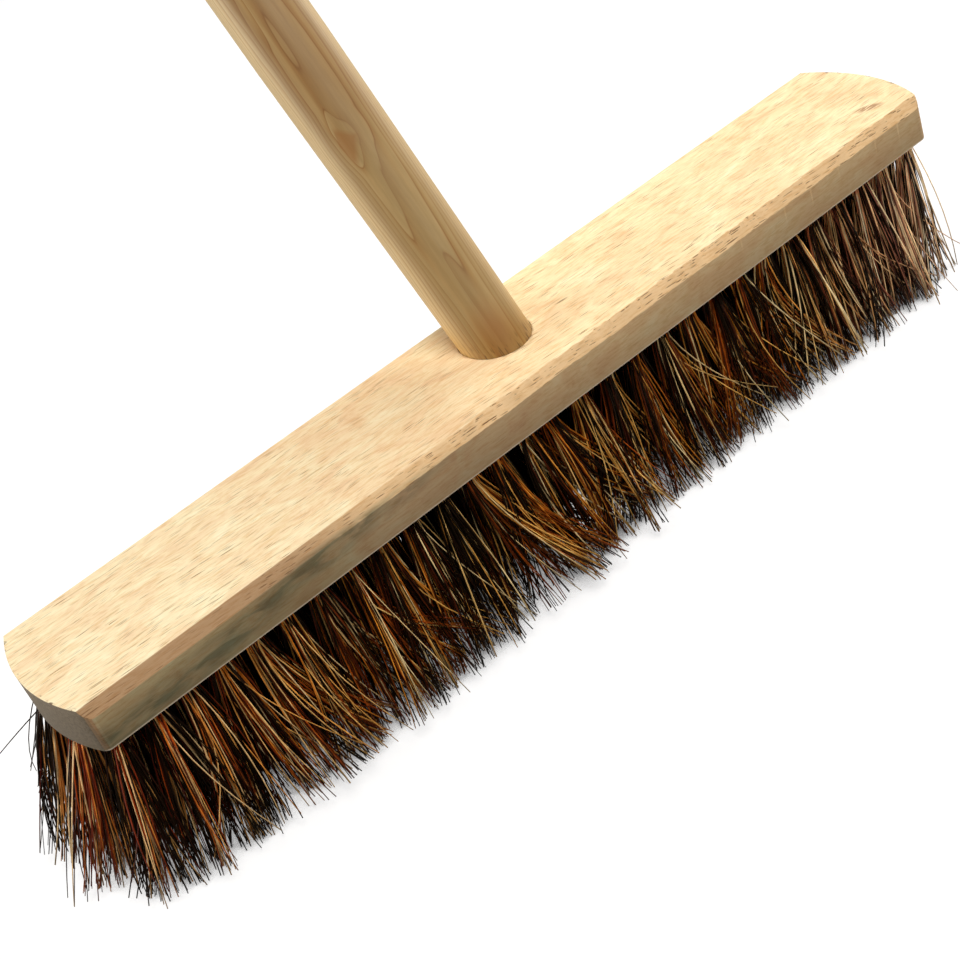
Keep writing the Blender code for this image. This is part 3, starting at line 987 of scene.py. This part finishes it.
    # The knot, a brown three-cornered figure 11 mm long and 6 mm wide on the front of the
    # pole, with its straight side to the left, and a warm patch by the mouth
    knot_half = add_node(tree, "ShaderNodeVectorMath", {"operation": "ABSOLUTE"}, {0: knot_place.outputs[0]})
    knot_reach = add_node(
        tree, "ShaderNodeVectorMath", {"operation": "DOT_PRODUCT", 1: (2.1, 0.1, 0.52)},
        {0: knot_half.outputs[0]},
    )
    knot_side = add_node(
        tree, "ShaderNodeVectorMath", {"operation": "DOT_PRODUCT", 1: (-1.48, 0.0, 0.1)},
        {0: knot_place.outputs[0]},
    )
    knot_edge = add_node(
        tree, "ShaderNodeMath", {"operation": "ADD"},
        {0: knot_reach.outputs["Value"], 1: knot_side.outputs["Value"]},
    )
    knot_share = add_node(
        tree, "ShaderNodeValToRGB", links={0: knot_edge.outputs[0]}, stops=((0.58, 0.6), (0.9, 0.0)),
    )
    knotted = add_node(
        tree, "ShaderNodeMix", {"data_type": "RGBA", 7: linear("#94602C")},
        {0: knot_share.outputs[0], 6: fined.outputs[2]},
    )
    patch_place = add_node(
        tree, "ShaderNodeMapping",
        {
            "vector_type": "TEXTURE", "Location": patch_middle, "Rotation": pole_turn,
            "Scale": (0.0085, 0.008, 0.013),
        }, {"Vector": place},
    )
    patch = add_node(tree, "ShaderNodeVectorMath", {"operation": "LENGTH"}, {0: patch_place.outputs[0]})
    patch_share = add_node(
        tree, "ShaderNodeValToRGB", links={0: patch.outputs["Value"]}, stops=((0.15, 0.6), (1.0, 0.0)),
    )
    patched = add_node(
        tree, "ShaderNodeMix", {"data_type": "RGBA", 7: linear("#A06C35")},
        {0: patch_share.outputs[0], 6: knotted.outputs[2]},
    )

    # Torn fibres just above the stock
    coordinates = add_node(tree, "ShaderNodeSeparateXYZ", links={0: place})
    torn_place = add_node(
        tree, "ShaderNodeMapping", {**along_pole, "Scale": (0.0009, 0.0009, 0.006)}, {"Vector": place},
    )
    torn = add_node(tree, "ShaderNodeTexNoise", {"Scale": 1, "Detail": 2}, {"Vector": torn_place.outputs[0]})
    torn_lines = add_node(
        tree, "ShaderNodeValToRGB", links={0: torn.outputs[0]}, stops=((0.36, 0.8), (0.46, 0.0)),
    )
    torn_reach = add_node(
        tree, "ShaderNodeMapRange",
        {"From Min": stock_top + 0.0015, "From Max": stock_top + 0.0055, "To Min": 1.0, "To Max": 0.0},
        {"Value": coordinates.outputs["Z"]},
    )
    torn_share = add_node(
        tree, "ShaderNodeMath", product, {0: torn_lines.outputs[0], 1: torn_reach.outputs[0]},
    )
    yellow_reach = add_node(
        tree, "ShaderNodeMapRange",
        {**soft_step, "From Min": stock_top, "From Max": stock_top + 0.016, "To Min": 0.75, "To Max": 0.0},
        {"Value": coordinates.outputs["Z"]},
    )
    yellowed = add_node(
        tree, "ShaderNodeMix", {**tint, 7: linear("#EBD394")},
        {0: yellow_reach.outputs[0], 6: patched.outputs[2]},
    )
    torn_wood = add_node(
        tree, "ShaderNodeMix", {"data_type": "RGBA", 7: linear("#63431C")},
        {0: torn_share.outputs[0], 6: yellowed.outputs[2]},
    )
    tree.links.new(torn_wood.outputs[2], shader.inputs["Base Color"])

    bump = add_node(
        tree, "ShaderNodeBump", {"Strength": 0.12, "Distance": 0.00015}, {"Height": fine.outputs[0]},
    )
    tree.links.new(bump.outputs[0], shader.inputs["Normal"])
    shader.inputs["Roughness"].default_value = 0.5
    return made


pole = put_mesh("softwood_pole", *pole_faces())
pole.data.shade_smooth()
pole.data.set_sharp_from_angle(angle=math.radians(40))
pole.data.materials.append(sanded_softwood())
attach(pole, "root")
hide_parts("handle")

# The floor: a sheet of pale board. The camera sees it as white paper that keeps the
# brush's shadow; its glow is dimmed by ambient occlusion, a painted shade that makes it
# dark under and just around the fibres. It returns less light to the brush than white
# paper would.
floor_half = 4.0
corners = np.array([[-1, -1, 0], [1, -1, 0], [1, 1, 0], [-1, 1, 0]]) * floor_half
floor = put_mesh("pale_floor", corners, [np.arange(4)[None]])
board, board_tree, unneeded = new_look("pale_board")
board_tree.nodes.remove(unneeded)
matt = add_node(board_tree, "ShaderNodeBsdfDiffuse", {"Color": linear("#A4A2A0")})
seen = add_node(board_tree, "ShaderNodeLightPath")
open_sky = add_node(board_tree, "ShaderNodeAmbientOcclusion", {"samples": 8, "Distance": 0.025})
# Ambient occlusion dims the camera's glow under and around the fibres: a painted shade
glow_painted_shade = add_node(
    board_tree, "ShaderNodeMapRange", {"From Min": 0.18, "From Max": 0.44, "To Min": 0.0, "To Max": 0.68},
    {"Value": open_sky.outputs["AO"]},
)
glow = add_node(
    board_tree, "ShaderNodeMath", product,
    {0: glow_painted_shade.outputs[0], 1: seen.outputs["Is Camera Ray"]},
)
paper = add_node(board_tree, "ShaderNodeEmission", links={"Strength": glow.outputs[0]})
both = add_node(board_tree, "ShaderNodeAddShader", links={0: matt.outputs[0], 1: paper.outputs[0]})
board_tree.links.new(both.outputs[0], board_tree.nodes["Material Output"].inputs["Surface"])
floor.data.materials.append(board)

# The room: white to the camera, and a dimmer even light on the brush.
room = bpy.data.worlds.new("studio_room")
bpy.context.scene.world = room
room.use_nodes = True
room_tree = room.node_tree
ray = add_node(room_tree, "ShaderNodeLightPath")
strength = add_node(
    room_tree, "ShaderNodeMapRange", {"To Min": 0.1, "To Max": 1.0}, {"Value": ray.outputs["Is Camera Ray"]},
)
room_tree.links.new(strength.outputs[0], room_tree.nodes["Background"].inputs["Strength"])
room_tree.nodes["Background"].inputs["Color"].default_value = (1, 1, 1, 1)
stock_middle = Vector((0, 0, 0.06))


def add_lamp(name, place, size, power):
    """A square soft box at a place, turned to the middle of the stock."""
    box = bpy.data.lights.new(name, "AREA")
    box.size = size
    box.energy = power
    lamp = bpy.data.objects.new(name, box)
    lamp.location = place
    lamp.rotation_euler = (stock_middle - lamp.location).to_track_quat("-Z", "Y").to_euler()
    bpy.context.scene.collection.objects.link(lamp)


add_lamp("overhead_box", (0.1, -0.55, 1.85), 1.1, 34)
add_lamp("left_box", (-1.5, 1.1, 0.7), 1.2, 26)
add_lamp("right_box", (1.6, 0.4, 0.8), 1.2, 16)

bpy.context.scene.view_settings.view_transform = "Standard"

# The camera: 0.59 m from the stock, above its front left corner, rolled clockwise.
focal_length = 63.7
sensor_width = 36
nearest_seen = 0.02
camera_place = (-0.2251, -0.4509, 0.3674)
camera_target = Vector((-0.0045, 0.0416, 0.0))
camera_roll = math.radians(-22.87)
camera = bpy.data.objects.new("camera", bpy.data.cameras.new("camera"))
camera.data.lens = focal_length
camera.data.sensor_width = sensor_width
camera.data.clip_start = nearest_seen
camera.location = camera_place
aim = camera_target - camera.location
camera.rotation_euler = aim.to_track_quat("-Z", "Y").to_euler()
camera.rotation_euler.rotate_axis("Z", camera_roll)
bpy.context.scene.collection.objects.link(camera)
bpy.context.scene.camera = camera

bpy.context.view_layer.update()
